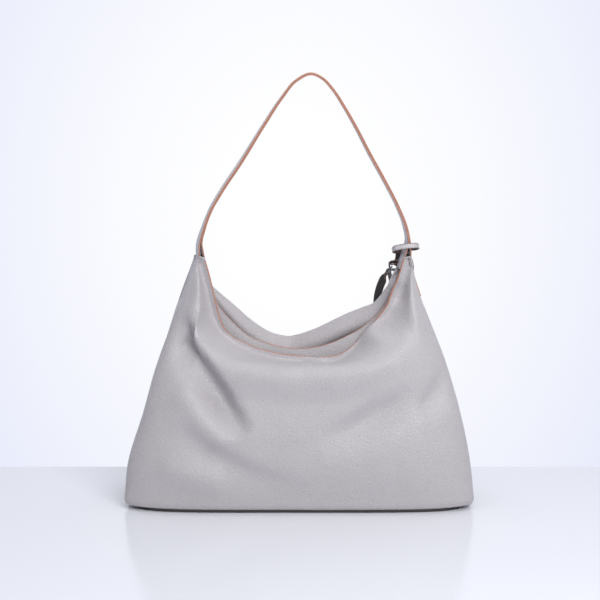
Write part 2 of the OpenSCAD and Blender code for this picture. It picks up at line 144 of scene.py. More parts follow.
# ---------------------------------------------------------------- node helpers
class Shader:
    """A material's node tree with short calls for the nodes that repeat."""

    def __init__(self, name):
        self.material = bpy.data.materials.new(name)
        self.material.use_nodes = True
        self.nodes = self.material.node_tree.nodes
        self.links = self.material.node_tree.links
        self.nodes.clear()
        self.out = self.nodes.new("ShaderNodeOutputMaterial")
        self.bsdf = self.nodes.new("ShaderNodeBsdfPrincipled")
        self.links.new(self.bsdf.outputs[0], self.out.inputs[0])
        self.place = self.nodes.new("ShaderNodeTexCoord").outputs["Object"]

    def set(self, **values):
        for key, value in values.items():
            self.bsdf.inputs[key.replace("_", " ").title().replace("Ior", "IOR")].default_value = value

    def noise(self, scale, detail=3.0, rough=0.5):
        n = self.nodes.new("ShaderNodeTexNoise")
        n.inputs["Scale"].default_value = scale
        n.inputs["Detail"].default_value = detail
        n.inputs["Roughness"].default_value = rough
        self.links.new(self.place, n.inputs["Vector"])
        return n.outputs["Fac"]

    def voronoi(self, scale, feature, vector):
        n = self.nodes.new("ShaderNodeTexVoronoi")
        n.feature = feature
        n.inputs["Scale"].default_value = scale
        self.links.new(vector, n.inputs["Vector"])
        return n.outputs["Distance"]

    def math(self, operation, a, b=None, clamp=False):
        n = self.nodes.new("ShaderNodeMath")
        n.operation = operation
        n.use_clamp = clamp
        for socket, value in zip(n.inputs, (a, b)):
            if value is None:
                continue
            if isinstance(value, (int, float)):
                socket.default_value = value
            else:
                self.links.new(value, socket)
        return n.outputs[0]

    def ramp(self, value, stops):
        n = self.nodes.new("ShaderNodeValToRGB")
        while len(n.color_ramp.elements) < len(stops):
            n.color_ramp.elements.new(0.5)
        for element, (position, colour) in zip(n.color_ramp.elements, stops):
            element.position = position
            element.color = (*colour, 1)
        self.links.new(value, n.inputs[0])
        return n.outputs[0]

    def mix(self, factor, a, b):
        n = self.nodes.new("ShaderNodeMix")
        n.data_type = "RGBA"
        self.put(n.inputs[0], factor)
        self.put(n.inputs[6], a)
        self.put(n.inputs[7], b)
        return n.outputs[2]

    def put(self, socket, value):
        if isinstance(value, (int, float)):
            socket.default_value = value
        elif isinstance(value, tuple):
            socket.default_value = (*value, 1)
        else:
            self.links.new(value, socket)

    def bump(self, height, strength, distance):
        n = self.nodes.new("ShaderNodeBump")
        n.inputs["Strength"].default_value = strength
        n.inputs["Distance"].default_value = distance
        self.links.new(height, n.inputs["Height"])
        return n.outputs[0]

    def warped(self, scale, amount):
        """The object coordinates pushed about by noise, so that cells lose their straight edges."""
        n = self.nodes.new("ShaderNodeTexNoise")
        n.inputs["Scale"].default_value = scale
        self.links.new(self.place, n.inputs["Vector"])
        shift = self.nodes.new("ShaderNodeVectorMath")
        shift.operation = "MULTIPLY_ADD"
        shift.inputs[1].default_value = (amount,) * 3
        self.links.new(n.outputs["Color"], shift.inputs[0])
        self.links.new(self.place, shift.inputs[2])
        return shift.outputs[0]

    def colour(self, value):
        self.put(self.bsdf.inputs["Base Color"], value)

    def rough(self, value):
        self.put(self.bsdf.inputs["Roughness"], value)

    def normal(self, value):
        self.links.new(value, self.bsdf.inputs["Normal"])


def leather(name, base, pebble=360, depth=0.0006, rough=(0.33, 0.48), shade=0.08, crease_shade=0.22):
    """Pebbled leather: rounded cells, fine creases between them with painted shade, mottled colour, a soft
    sheen.
    """
    s = Shader(name)
    warp = s.warped(240, 0.0016)
    cells = s.voronoi(pebble, "F1", warp)
    edges = s.voronoi(pebble, "DISTANCE_TO_EDGE", warp)
    fine = s.noise(pebble * 5, 2)
    mottle = s.noise(28, 4, 0.55)
    patches = s.noise(7, 2, 0.5)
    dome = s.math("SUBTRACT", 1.0, s.math("POWER", cells, 1.6), True)
    creases = s.math("MULTIPLY", edges, 7.0, True)
    height = s.math("ADD", s.math("MULTIPLY", dome, 0.7), s.math("MULTIPLY", creases, 0.35))
    height = s.math("ADD", height, s.math("MULTIPLY", fine, 0.10))
    height = s.math("MULTIPLY", height, s.math("ADD", s.math("MULTIPLY", patches, 0.9), 0.45))
    s.normal(s.bump(height, 0.55, depth))
    dark = tuple(c * (1 - shade) for c in base)
    light = tuple(min(1, c * (1 + shade * 0.5)) for c in base)
    tone = s.mix(mottle, dark, light)
    # Painted shade: the creases between the pebbles are darkened towards 0.62 of the leather colour.
    s.colour(s.mix(s.math("MULTIPLY", s.math("SUBTRACT", 1.0, creases, True), crease_shade), tone,
                   tuple(c * 0.62 for c in base)))
    low, high = rough
    s.rough(s.math("ADD", s.math("MULTIPLY", fine, high - low), low))
    s.set(specular_ior_level=0.42, sheen_weight=0.12, sheen_roughness=0.45)
    return s.material


def edge_paint(name, base):
    """Burnished edge paint over cut fibres: slightly uneven, with worn lighter flecks."""
    s = Shader(name)
    grain = s.noise(2600, 2, 0.5)
    drift = s.noise(60, 3, 0.5)
    tone = s.mix(drift, tuple(c * 0.90 for c in base), tuple(min(1, c * 1.10) for c in base))
    s.colour(s.mix(s.ramp(grain, [(0.60, (0, 0, 0)), (0.74, (0.3, 0.3, 0.3))]), tone,
                   tuple(min(1, c * 1.25) for c in base)))
    s.normal(s.bump(grain, 0.08, 0.00003))
    s.rough(s.math("ADD", s.math("MULTIPLY", grain, 0.25), 0.38))
    s.set(specular_ior_level=0.35)
    return s.material


def thread(name, base):
    s = Shader(name)
    twist = s.noise(2200, 2, 0.5)
    s.colour(s.mix(twist, tuple(c * 0.75 for c in base), tuple(min(1, c * 1.2) for c in base)))
    s.normal(s.bump(twist, 0.5, 0.0001))
    s.rough(0.6)
    s.set(sheen_weight=0.2)
    return s.material


def metal(name, base, rough=0.22):
    s = Shader(name)
    wear = s.noise(420, 4, 0.6)
    smudge = s.noise(60, 3, 0.5)
    s.colour(s.mix(s.ramp(wear, [(0.55, (0, 0, 0)), (0.8, (0.4, 0.4, 0.4))]), base,
                   tuple(min(1, c * 1.6) for c in base)))
    s.rough(s.math("ADD", s.math("MULTIPLY", smudge, 0.2), rough - 0.08))
    s.normal(s.bump(wear, 0.12, 0.0001))
    s.set(metallic=1.0)
    return s.material


def weave(name, base, pitch=1500):
    """Fine twill lining: two crossed sets of ribs."""
    s = Shader(name)
    waves = []
    for direction in ("X", "Z"):
        n = s.nodes.new("ShaderNodeTexWave")
        n.bands_direction = direction
        n.inputs["Scale"].default_value = pitch / 6
        n.inputs["Distortion"].default_value = 0.4
        s.links.new(s.place, n.inputs["Vector"])
        waves.append(n.outputs["Fac"])
    ribs = s.math("MULTIPLY", waves[0], waves[1])
    fuzz = s.noise(500, 3, 0.6)
    s.colour(s.mix(ribs, tuple(c * 0.7 for c in base), tuple(c * 1.25 for c in base)))
    s.normal(s.bump(s.math("ADD", ribs, s.math("MULTIPLY", fuzz, 0.4)), 0.4, 0.0002))
    s.rough(0.82)
    s.set(sheen_weight=0.25)
    return s.material


TAUPE = (0.468, 0.446, 0.466)
COPPER = (0.440, 0.215, 0.155)
CHARCOAL = (0.040, 0.036, 0.036)
mats = {}


def make_materials():
    mats["leather"] = leather("taupe_grain", TAUPE)
    # Painted light: the inner faces take the taupe leather made 1.22 times lighter, standing in for light
    # reaching inside.
    mats["inside"] = leather("taupe_inside_painted_light", tuple(c * 1.22 for c in TAUPE), 520, 0.0002, (0.5, 0.65))
    mats["strap"] = leather("strap_grain", TAUPE, 900, 0.00002, crease_shade=0.05)
    # Charcoal leather for the leash pieces; the base's outer face wears it as painted shadow, a dark sheet
    # for the shadow line under the bag.
    mats["dark"] = leather("charcoal_flesh_and_painted_shadow", CHARCOAL, 900, 0.0002, (0.6, 0.8), 0.2)
    mats["paint"] = edge_paint("terracotta_edge", COPPER)
    mats["brown_edge"] = edge_paint("brown_edge", (0.16, 0.105, 0.09))
    mats["thread"] = thread("taupe_thread", (0.33, 0.32, 0.34))
    mats["metal"] = metal("gunmetal", (0.20, 0.20, 0.215))
    mats["lining"] = weave("charcoal_twill", (0.060, 0.056, 0.056))
    mats["board"] = weave("board_cloth", (0.12, 0.115, 0.115), 900)


# ---------------------------------------------------------------- curves and meshes
def through(knots, points, at):
    """Smooth curve through points given at uneven knots: cubic Hermite with averaged slopes."""
    knots, points, at = np.asarray(knots, float), np.asarray(points, float), np.asarray(at, float)
    slopes = np.gradient(points, knots, axis=0)
    k = np.clip(np.searchsorted(knots, at, side="right") - 1, 0, len(knots) - 2)
    h = knots[k + 1] - knots[k]
    t = (at - knots[k]) / h
    if points.ndim > 1:
        shape = (-1,) + (1,) * (points.ndim - 1)
        h, t = h.reshape(shape), t.reshape(shape)
    a = 2 * t**3 - 3 * t**2 + 1
    b = t**3 - 2 * t**2 + t
    c = -2 * t**3 + 3 * t**2
    d = t**3 - t**2
    return a * points[k] + b * h * slopes[k] + c * points[k + 1] + d * h * slopes[k + 1]


def smoothstep(low, high, x):
    t = np.clip((x - low) / (high - low), 0, 1)
    return t * t * (3 - 2 * t)


def unit(v):
    v = np.asarray(v, float)
    return v / np.linalg.norm(v, axis=-1, keepdims=True)


def reach_along(points):
    """The distance along a line of points, from its first point to each of them."""
    return np.concatenate([[0], np.cumsum(np.linalg.norm(np.diff(points, axis=0), axis=1))])


def surface_normals(p):
    du = np.gradient(p, axis=0)
    dv = np.gradient(p, axis=1)
    n = np.cross(du, dv)
    return n / np.maximum(np.linalg.norm(n, axis=2, keepdims=True), 1e-9)


def mesh_object(name, points, faces, materials, indices):
    mesh = bpy.data.meshes.new(name)
    mesh.from_pydata((np.asarray(points) * MM).tolist(), [], faces)
    for m in materials:
        mesh.materials.append(m)
    mesh.polygons.foreach_set("material_index", np.asarray(indices, np.int32))
    mesh.polygons.foreach_set("use_smooth", np.full(len(faces), True))
    mesh.update()
    return link(bpy.data.objects.new(name, mesh))


def grid_faces(rows, columns, start=0, wrap=False, flip=False):
    """Quads of a grid of points, numbered row by row; wrap joins the last column to the first."""
    faces = []
    for i in range(rows - 1):
        for j in range(columns if wrap else columns - 1):
            a = start + i * columns + j
            b = start + i * columns + (j + 1) % columns
            quad = (a, b, b + columns, a + columns)
            faces.append(quad[::-1] if flip else quad)
    return faces


def shell(name, outer, thickness, materials, painted=(), flip=False, bead=1.0, span=(0, 1)):
    """A closed sheet from a grid of outer points, with its four edges rounded over. The outer faces take the
    first material and the inner faces the second. The edges named in painted (u0, u1, v0, v1) take the third,
    along the share of them that span gives."""
    normal = surface_normals(outer) * (-1 if flip else 1)
    thick = np.broadcast_to(np.asarray(thickness, float), outer.shape[:2])[..., None]
    inner = outer - normal * thick
    nu, nv = outer.shape[:2]
    points = [outer.reshape(-1, 3), inner.reshape(-1, 3)]
    faces = grid_faces(nu, nv, 0, flip=not flip)
    index = [0] * len(faces)
    back = grid_faces(nu, nv, nu * nv, flip=flip)
    faces += back
    index += [1] * len(back)
    count = 2 * nu * nv
    loops = {}
    edges = {
        "u0": ([(0, j) for j in range(nv)], (1, None)),
        "u1": ([(nu - 1, j) for j in range(nv)], (-2, None)),
        "v0": ([(i, 0) for i in range(nu)], (None, 1)),
        "v1": ([(i, nv - 1) for i in range(nu)], (None, -2)),
    }
    for key, (cells, step) in edges.items():
        ids = np.array(cells)
        o = outer[ids[:, 0], ids[:, 1]]
        n = inner[ids[:, 0], ids[:, 1]]
        other = outer[step[0], :] if step[0] is not None else outer[:, step[1]]
        away = o - other
        away /= np.maximum(np.linalg.norm(away, axis=1, keepdims=True), 1e-9)
        local = thick[ids[:, 0], ids[:, 1]] / 2
        puff = bead if key in painted else 1.0
        rows = [(o + n) / 2 + (o - n) / 2 * math.cos(math.radians(a)) * puff
                + away * local * math.sin(math.radians(a)) for a in (14, 45, 90, 135, 166)]
        first = count
        points += rows
        count += len(rows) * len(cells)
        chain = [ids[:, 0] * nv + ids[:, 1]]
        chain += [np.arange(len(cells)) + first + r * len(cells) for r in range(len(rows))]
        chain.append(chain[0] + nu * nv)
        turn = (key in ("u0", "v1")) != flip
        loops[key] = [[int(link_row[end]) for link_row in chain] for end in (0, -1)]
        for lower, upper in zip(chain[:-1], chain[1:]):
            for j in range(len(cells) - 1):
                quad = (int(lower[j]), int(lower[j + 1]), int(upper[j + 1]), int(upper[j]))
                faces.append(quad if turn else quad[::-1])
                inside = span[0] <= j / (len(cells) - 1) <= span[1]
                index.append(2 if key in painted and inside else 0)
    corners = (("v0", 0, "u0", 0), ("v0", 1, "u1", 0), ("v1", 1, "u1", 1), ("v1", 0, "u0", 1))
    for along, end_a, across, end_b in corners:
        ring = loops[along][end_a] + loops[across][end_b][-2:0:-1]
        wanted = (along == "v0") == (end_a == 0)
        faces.append(tuple(ring if wanted != flip else ring[::-1]))
        index.append(2 if along in painted and span == (0, 1) else 0)
    return mesh_object(name, np.concatenate(points), faces, materials, index)


def strip(name, centre, across, normal, half, thick, materials):
    """A flat strip along a route, with rounded painted edges. across and normal are unit vectors."""
    seg = 4
    half = np.broadcast_to(np.asarray(half, float), (len(centre),))
    profile, kind = [], []
    r = thick / 2
    for k in range(seg + 1):
        a = -math.pi / 2 + math.pi * k / seg
        profile.append((1, r * 0.8 * math.cos(a), r * math.sin(a)))
        kind.append(2 if k < seg else 0)
    for w in (0.5, 0.0, -0.5):
        profile.append((w, 0, r))
        kind.append(0)
    for k in range(seg + 1):
        a = math.pi / 2 + math.pi * k / seg
        profile.append((-1, r * 0.8 * math.cos(a), r * math.sin(a)))
        kind.append(2 if k < seg else 1)
    for w in (-0.5, 0.0, 0.5):
        profile.append((w, 0, -r))
        kind.append(1)
    kind[seg + 3] = 0
    rings = []
    for side, out, up in profile:
        offset = (side * (half - r * 0.8) + out)[:, None]
        rings.append(centre + across * offset + normal * up)
    grid = np.stack(rings, axis=1)
    n, m = grid.shape[:2]
    faces = grid_faces(n, m, 0, wrap=True)
    index = kind * (n - 1)
    faces.append(tuple(range(m)))
    faces.append(tuple(range((n - 1) * m, n * m))[::-1])
    index += [2, 2]
    return mesh_object(name, grid.reshape(-1, 3), faces, materials, index)


def stitch_row(name, path, up, pitch=3.4, length=2.3, radius=0.34, sink=0.10):
    """Separate stitches along a path: short rounded threads that dip into the leather at both ends."""
    path, up = np.asarray(path, float), np.asarray(up, float)
    reach = reach_along(path)
    count = max(1, int(reach[-1] / pitch))
    points, faces = [], []
    sides, rings = 6, 5
    for i in range(count):
        at = (i + 0.5) * reach[-1] / count
        span = np.linspace(at - length / 2, at + length / 2, rings)
        centre = np.stack([np.interp(span, reach, path[:, k]) for k in range(3)], axis=1)
        n = np.array([np.interp(at, reach, up[:, k]) for k in range(3)])
        n /= np.linalg.norm(n)
        along = centre[-1] - centre[0]
        along /= np.linalg.norm(along)
        side = np.cross(n, along)
        base = len(points)
        for k in range(rings):
            t = k / (rings - 1) * 2 - 1
            wide = radius * math.sqrt(max(0.08, 1 - t**4))
            lift = radius * 0.55 - (sink + radius) * t**4
            for q in range(sides):
                a = 2 * math.pi * q / sides
                points.append(centre[k] + n * (lift + wide * 0.7 * math.sin(a)) + side * wide * math.cos(a))
        faces += grid_faces(rings, sides, base, wrap=True)
        faces.append(tuple(base + q for q in range(sides))[::-1])
        faces.append(tuple(base + (rings - 1) * sides + q for q in range(sides)))
    return mesh_object(name, points, faces, [mats["thread"]], [0] * len(faces))


def join(name, objects):
    """One object from several, with all their materials."""
    bpy.ops.object.select_all(action="DESELECT")
    for o in objects:
        o.select_set(True)
    bpy.context.view_layer.objects.active = objects[0]
    bpy.ops.object.join()
    objects[0].name = name
    objects[0].data.name = name
    return objects[0]


# ---------------------------------------------------------------- the bag's own outlines, in millimetres
SIDE_Z = (0, 30, 70, 120, 170, 212, 232, 249, 267, 285)
SIDE_LEFT = (-200, -199.2, -193.6, -175.5, -161.5, -143.8, -134.8, -127.5, -122.5, -115)
SIDE_RIGHT = (200, 199.3, 193.8, 182.7, 167.2, 151.2, 143.8, 138.0, 132.3, 128.5)
TIP_HALF = 14
TIP_Z = 285
BASE_HALF = 73
SEAM_FOOT = 54
WALL = 2.2
LIP = 0.95
FRONT_COLUMNS = 240
BACK_COLUMNS = 180
SEAM_FADE = 0.10
LIP_BEAD = 1.12


def side_x(u, z):
    left = through(SIDE_Z, SIDE_LEFT, np.ravel(z)).reshape(np.shape(z))
    right = through(SIDE_Z, SIDE_RIGHT, np.ravel(z)).reshape(np.shape(z))
    return np.where(u < 0, -left, right)


def seam_y(z):
    return TIP_HALF + (SEAM_FOOT - TIP_HALF) * np.clip(1 - z / TIP_Z, 0, 1) ** 1.15


def ring_row(u, z_mid, z_side, depth, power, round_over=0.62):
    """One level of a wall, from side seam to side seam: it bulges to depth and rounds over to the seams."""
    z = z_mid + (z_side - z_mid) * np.abs(u) ** 2.2
    y = seam_y(z) + (depth - seam_y(z)) * np.clip(1 - np.abs(u) ** power, 0, 1) ** round_over
    return np.stack([u * side_x(u, z), y, z], axis=1)


def drawn_in(u, middle, corner):
    """Scale that pulls a row in from its outline, and a little more at the rounded corners."""
    pull = corner * np.abs(u) ** 10
    return np.stack([middle - pull, middle - 2 * pull, np.ones_like(u)], axis=1)


def foot_row(u):
    return ring_row(u, 2.7, 3.4, BASE_HALF, 5) * drawn_in(u, 0.978, 0.03)


def rim_row(u, at, points):
    """A rim: through the given points between the two lip ends, then straight across to the seams."""
    inner = through(at, points, np.clip(u, at[0], at[-1]))
    for side in (-1, 1):
        tip = np.array((side_x(side, TIP_Z) * side, TIP_HALF, TIP_Z + 0.5))
        t = np.clip((np.abs(u) - LIP) / (1 - LIP), 0, 1)[:, None] * (u * side > 0)[:, None]
        inner = inner * (1 - t) + tip * t
    return inner


RIDGE_AT = (-1, -0.95, -0.87, -0.74, -0.55, -0.25, 0.08, 0.35, 0.58, 0.78, 0.95, 1)
FRONT_RIDGE = ((-128.5, 17, 253), (-118, 27, 252), (-114, 35, 232), (-116, 45, 205), (-93, 54, 181),
               (-46, 58, 169), (15, 59, 166), (66, 57, 171), (104, 50, 186), (123, 38, 210), (131, 25, 250),
               (135.6, 17, 253))
RIM_AT = (-0.95, -0.90, -0.83, -0.76, -0.70, -0.62, -0.50, -0.30, -0.08, 0.14, 0.30, 0.44, 0.57, 0.70, 0.80,
          0.88, 0.95)
FRONT_RIM = ((-109.5, 13, 284), (-104.5, 13.5, 266), (-99.5, 14.5, 245), (-94, 15.5, 221), (-88, 17, 205),
             (-78, 18.5, 195), (-60, 20, 185.5), (-29, 22, 175.8), (3, 23, 172), (31, 23, 171), (49, 22, 175),
             (66, 20, 188), (79, 18.5, 204.5), (92, 17, 216.5), (103.5, 15, 232.7), (112, 14, 253),
             (121.5, 13, 284.5))
BACK_RIDGE = ((-128.5, 17, 253), (-116, 26, 246), (-106, 34, 218), (-84, 44, 188), (-50, 49, 167),
              (-18, 50, 157), (24, 50, 161), (60, 48, 179), (90, 42, 200), (111, 34, 223), (126, 26, 250),
              (135.6, 17, 253))
BACK_RIM = ((-109.5, 13, 284), (-107.5, 13.5, 268), (-102.5, 14.5, 250), (-92, 15, 238), (-80, 16, 227.5),
            (-62, 18, 210.8), (-42, 20, 196), (-20, 21, 187.7), (-4, 22, 188), (22, 21, 197), (42, 20, 207),
            (58, 19, 214.8), (75, 18, 221.7), (90, 16, 229), (104, 15, 245), (113, 14, 256),
            (121.5, 13, 284.5))


def columns(count):
    t = np.linspace(-1, 1, count)
    return np.sin(t * math.pi / 2) * 0.45 + t * 0.55


def wall_grid(nu, nv, belly, ridge, rim, curl, lip):
    """A wall of the bag: rows of points from the foot, over the belly and the ridge, and in to the rim."""
    u = columns(nu)
    top = rim_row(u, RIM_AT, rim)
    crest = through(RIDGE_AT, ridge, u)
    rows = [
        foot_row(u),
        ring_row(u, 3.4, 4.8, BASE_HALF, 5) * drawn_in(u, 0.996, 0.012),
        ring_row(u, 6.0, 8.5, BASE_HALF + 1, 5),
        ring_row(u, 17, 19, BASE_HALF + 2.5, 4.8),
        ring_row(u, 42, 50, BASE_HALF + belly, 4.2),
        ring_row(u, 82, 108, BASE_HALF + belly * 0.5, 3.6),
        ring_row(u, 122, 165, BASE_HALF - 5, 2.8),
        crest,
        top + curl(top[:, 0], u),
        top,
    ]
    at = (0, 0.012, 0.033, 0.085, 0.21, 0.42, 0.62, 0.84, lip, 1)
    return through(at, np.stack(rows), np.linspace(0, 1, nv)).transpose(1, 0, 2)


def front_curl(x, u):
    """The last few millimetres of the front lip stand up in the middle, except where the leather rolls back
    over its own edge, and flare forward beside the tips."""
    flat = np.exp(-((x - 18) / 9) ** 2) + np.exp(-((x - 79) / 9) ** 2)
    reach = np.abs(u)
    beside = smoothstep(0.62, 0.76, reach)
    end = smoothstep(1.0, LIP, reach)
    middle = np.stack([0 * x, 1.2 + 4.5 * flat, -5.0 + 3.0 * flat], axis=1)
    tip = np.stack([5.0 * np.sign(u), 0 * x - 1.9, 0 * x - 1.5], axis=1)
    return (middle * (1 - beside[:, None]) + tip * beside[:, None]) * end[:, None]


def lip_span(count):
    """The share of a wall's columns that lie between its two lip ends."""
    inside = np.where(np.abs(columns(count)) <= LIP)[0] / (count - 1)
    return inside[0], inside[-1]


def back_curl(x, u):
    """The back rim stands up from a soft ledge, so that its inner face catches the light."""
    reach = np.abs(u)
    stand = smoothstep(0.95, 0.6, reach)
    return np.stack([0 * x + 2.0 * np.sign(u) * (1 - stand), -6.0 * stand, -5.0 - 14.0 * stand], axis=1)


def crease(grid, path, width, depth, skew=0.0, fade=0.25):
    """How deep each point of a wall is pressed in along a path across it: a valley that fades at its ends.
    Seen from the front, positive skew widens the side to the left of the path's direction, and negative skew
    makes it steeper."""
    path = np.asarray(path, float)
    dense = through(np.arange(len(path)), path, np.linspace(0, len(path) - 1, 60))
    x, z = grid[..., 0].reshape(-1, 1), grid[..., 2].reshape(-1, 1)
    dx, dz = x - dense[:, 0], z - dense[:, 1]
    near = np.argmin(dx**2 + dz**2, axis=1)
    pick = np.arange(len(near))
    tangent = np.gradient(dense, axis=0)
    tangent /= np.linalg.norm(tangent, axis=1, keepdims=True)
    t = tangent[near]
    side = dx[pick, near] * -t[:, 1] + dz[pick, near] * t[:, 0]
    along = dx[pick, near] * t[:, 0] + dz[pick, near] * t[:, 1]
    s = near / (len(dense) - 1)
    ends = smoothstep(0, fade, s) * smoothstep(0, fade, 1 - s)
    wide = width * (1 + skew * np.tanh(side / width))
    shape = np.exp(-((side / wide) ** 2)) * np.exp(-((along / width) ** 2))
    return (depth * ends * shape).reshape(grid.shape[:2])


LEFT_FOLD = ((-142, 232), (-138, 216), (-133, 201), (-126, 187), (-113, 166), (-98, 144), (-82, 121),
             (-67, 98), (-60, 84))
LOWER_FOLD = ((-140, 106), (-132, 95), (-116, 79), (-98, 67), (-58, 45), (-10, 31), (38, 22))
RIGHT_FOLD = ((20, 80), (33, 85), (60, 98), (86, 112), (114, 125), (137, 137), (158, 154))
SHORT_FOLD = ((132, 104), (141, 116), (152, 130), (164, 149), (168, 165))
grids = {}


def front_wall():
    grid = wall_grid(FRONT_COLUMNS, 190, 5, FRONT_RIDGE, FRONT_RIM, front_curl, lip=0.965) * (1, -1, 1)
    press = (crease(grid, LEFT_FOLD, 14, 18, -0.35, 0.32) + crease(grid, LOWER_FOLD, 16, 6.5, -0.3, 0.5)
             + crease(grid, RIGHT_FOLD, 17, 9.0, -0.35, 0.5) + crease(grid, SHORT_FOLD, 13, 5.5, -0.3, 0.5))
    press -= crease(grid, ((-140, 150), (-122, 125), (-95, 92), (-80, 70)), 20, 4.0)
    press += crease(grid, ((112, 262), (114, 244), (108, 228)), 9, 3.5, 0, 0.4)
    press -= crease(grid, ((-165, 60), (-140, 48), (-105, 40), (-80, 40)), 16, 2.5)
    edge = smoothstep(0, SEAM_FADE, 1 - np.abs(columns(FRONT_COLUMNS)))[:, None]
    grid -= surface_normals(grid) * (press * edge)[..., None]
    return grid


def lean(z, side):
    """How far the far edge of a tip, and of the tab on it, is turned towards the left."""
    return (5.0 if side < 0 else 3.0) * smoothstep(165, 262, z)


def back_wall():
    grid = wall_grid(BACK_COLUMNS, 150, 4, BACK_RIDGE, BACK_RIM, back_curl, lip=0.93)
    u = columns(BACK_COLUMNS)[:, None]
    for side in (-1, 1):
        grid[..., 0] -= lean(grid[..., 2], side) * smoothstep(0.75, 0.97, u * side)
    press = (crease(grid, ((-150, 90), (-110, 110), (-60, 105), (-20, 80)), 16, 5, 0.3)
             + crease(grid, ((150, 210), (128, 180), (100, 140), (80, 95)), 14, 7, -0.3)
             + crease(grid, ((-20, 40), (40, 60), (90, 62), (130, 50)), 16, 3.5)
             # A hollow beside the right tip keeps the wall clear of the wrist loop when that swings right.
             + crease(grid, ((121, 272), (126, 250), (130, 228), (134, 200), (136, 165)), 20, 12, 0, 0.25))
    edge = smoothstep(0, SEAM_FADE, 1 - np.abs(u[:, 0]))[:, None]
    grid += surface_normals(grid) * (press * edge)[..., None]
    return grid


def finish_piece(piece, body, slot, *nodes):
    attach(piece, body)
    if nodes:
        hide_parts(*nodes)


def build_walls():
    grids["front"] = front_wall()
    grids["back"] = back_wall()
    piece = shell("front_leather", grids["front"], WALL, [mats["leather"], mats["inside"], mats["paint"]],
                  ("v1",), bead=LIP_BEAD, span=lip_span(FRONT_COLUMNS))
    finish_piece(piece, "bag", "taupe_leather", "front_panel")
    nv = grids["back"].shape[1]
    rolled = WALL + 1.3 * smoothstep(0.93, 0.97, np.linspace(0, 1, nv))[None, :]
    piece = shell("back_leather", grids["back"], rolled, [mats["leather"]] * 3, flip=True)
    finish_piece(piece, "bag", "taupe_leather", "back_panel")


def gusset_grid(side):
    """A side wall between the two seams, drawn in along its middle."""
    column = 0 if side < 0 else -1
    rows = 120
    seams = []
    for key in ("front", "back"):
        line = grids[key][column]
        reach = reach_along(line)
        at = np.linspace(0, reach[-1], rows)
        seams.append(np.stack([np.interp(at, reach, line[:, i]) for i in range(3)], axis=1))
    front, back = seams
    front = front + (0, WALL + 0.1, 0)
    back = back - (0, WALL + 0.1, 0)
    s = np.linspace(0, 1, 40)[:, None, None]
    v = np.linspace(0, 1, rows)[None, :, None]
    grid = front * (1 - s) + back * s
    width = (back - front)[None, :, 1:2]
    open_width = smoothstep(28, 75, width)
    fold = (np.sin(np.pi * s) ** 1.3) * 0.15 * width * open_width * smoothstep(0, 0.2, v)
    centre = np.exp(-(((s - 0.5 - 0.05 * np.sin(v * 9)) / 0.07) ** 2))
    centre = centre * 2.6 * open_width * smoothstep(0.05, 0.3, v)
    welt = np.minimum(s, 1 - s) * width
    turned = 0.9 * smoothstep(0, 2.5, welt) - 0.7 * np.exp(-((welt / 1.6) ** 2))
    recess = 2.0 * smoothstep(0, 2, welt) * smoothstep(226, 238, grid[..., 2:3])
    grid[..., 0:1] -= side * (fold + centre - turned + recess)
    return grid


def build_gussets():
    for side, name in ((-1, "left"), (1, "right")):
        piece = shell(f"gusset_{name}_leather", gusset_grid(side), 1.8,
                      [mats["leather"], mats["lining"], mats["leather"]], flip=side < 0)
        finish_piece(piece, "bag", "taupe_leather", f"gusset_{name}", f"tip_filler_{name}")


def build_base():
    """The bottom leather between the walls' feet; its charcoal outer face is painted shadow under the bag."""
    share = np.linspace(0, 1, 90)
    front, back = (np.stack([np.interp(share, np.linspace(0, 1, len(grids[key])), grids[key][:, 0, k])
                             for k in range(2)], axis=1) for key in ("front", "back"))
    s = np.linspace(0, 1, 40)[None, :, None]
    flat = (front[:, None] - (0, 0.4)) * (1 - s) + (back[:, None] + (0, 0.4)) * s
    flat *= (0.975, 1)
    grid = np.concatenate([flat, 0.1 + 0 * flat[..., :1]], axis=2)
    piece = shell("base_leather", grid, 2.9, [mats["dark"], mats["lining"], mats["dark"]], flip=True)
    finish_piece(piece, "bag", "taupe_leather", "base_panel")


# ---------------------------------------------------------------- middle pouch
POUCH_AT = (-1, -0.9, -0.83, -0.76, -0.66, -0.50, -0.28, -0.05, 0.16, 0.33, 0.50, 0.63, 0.74, 0.84, 0.92, 1)
POUCH_RIM = ((-104, 262), (-99.5, 243), (-93.5, 229), (-87, 220), (-77, 209), (-60, 194), (-33, 183),
             (-6, 178), (17, 179), (36, 184), (57, 193.5), (72, 202), (83, 211), (95, 223), (107, 243),
             (114, 262))


def pouch_grid(depth, drop, tilt):
    """One wall of the middle pouch: drop lowers its rim, and tilt leans it out below the rim."""
    u = np.linspace(-1, 1, 170)
    v = np.linspace(0, 1, 60)[None, :]
    rim = through(POUCH_AT, POUCH_RIM, u)
    rim[:, 1] -= drop
    bottom = np.stack([u * 116 + 3, np.full_like(u, 74)], axis=1)
    x = bottom[:, :1] * (1 - v) + rim[:, :1] * v
    z = bottom[:, 1:] * (1 - v) + rim[:, 1:] * v
    wave = 0.7 * np.sin(x / 21 + 1.0) * np.sin(v * 3.0) + 0.6 * np.sin(x / 9.0 + v * 5)
    y = depth * (1 - np.abs(u[:, None]) ** 4 * 0.35) + tilt * (1 - v**5) * (1 - u[:, None] ** 4)
    y = y + wave * (1 - v**6 * 0.7)
    return np.stack([x, y, z], axis=2)


def build_pouch():
    for name, depth, drop, tilt in (("front", -5.4, 0, -5.0), ("back", 6.4, 7, 2.0)):
        front = depth < 0
        piece = shell(f"pouch_{name}_leather", pouch_grid(depth, drop, tilt), 1.7,
                      [mats["leather"], mats["inside"], mats["paint"]], ("v1",), flip=not front,
                      bead=LIP_BEAD)
        nodes = [f"pouch_{name}_ply"] + (["pouch_binding"] if front else [])
        finish_piece(piece, "bag", "taupe_leather", *nodes)


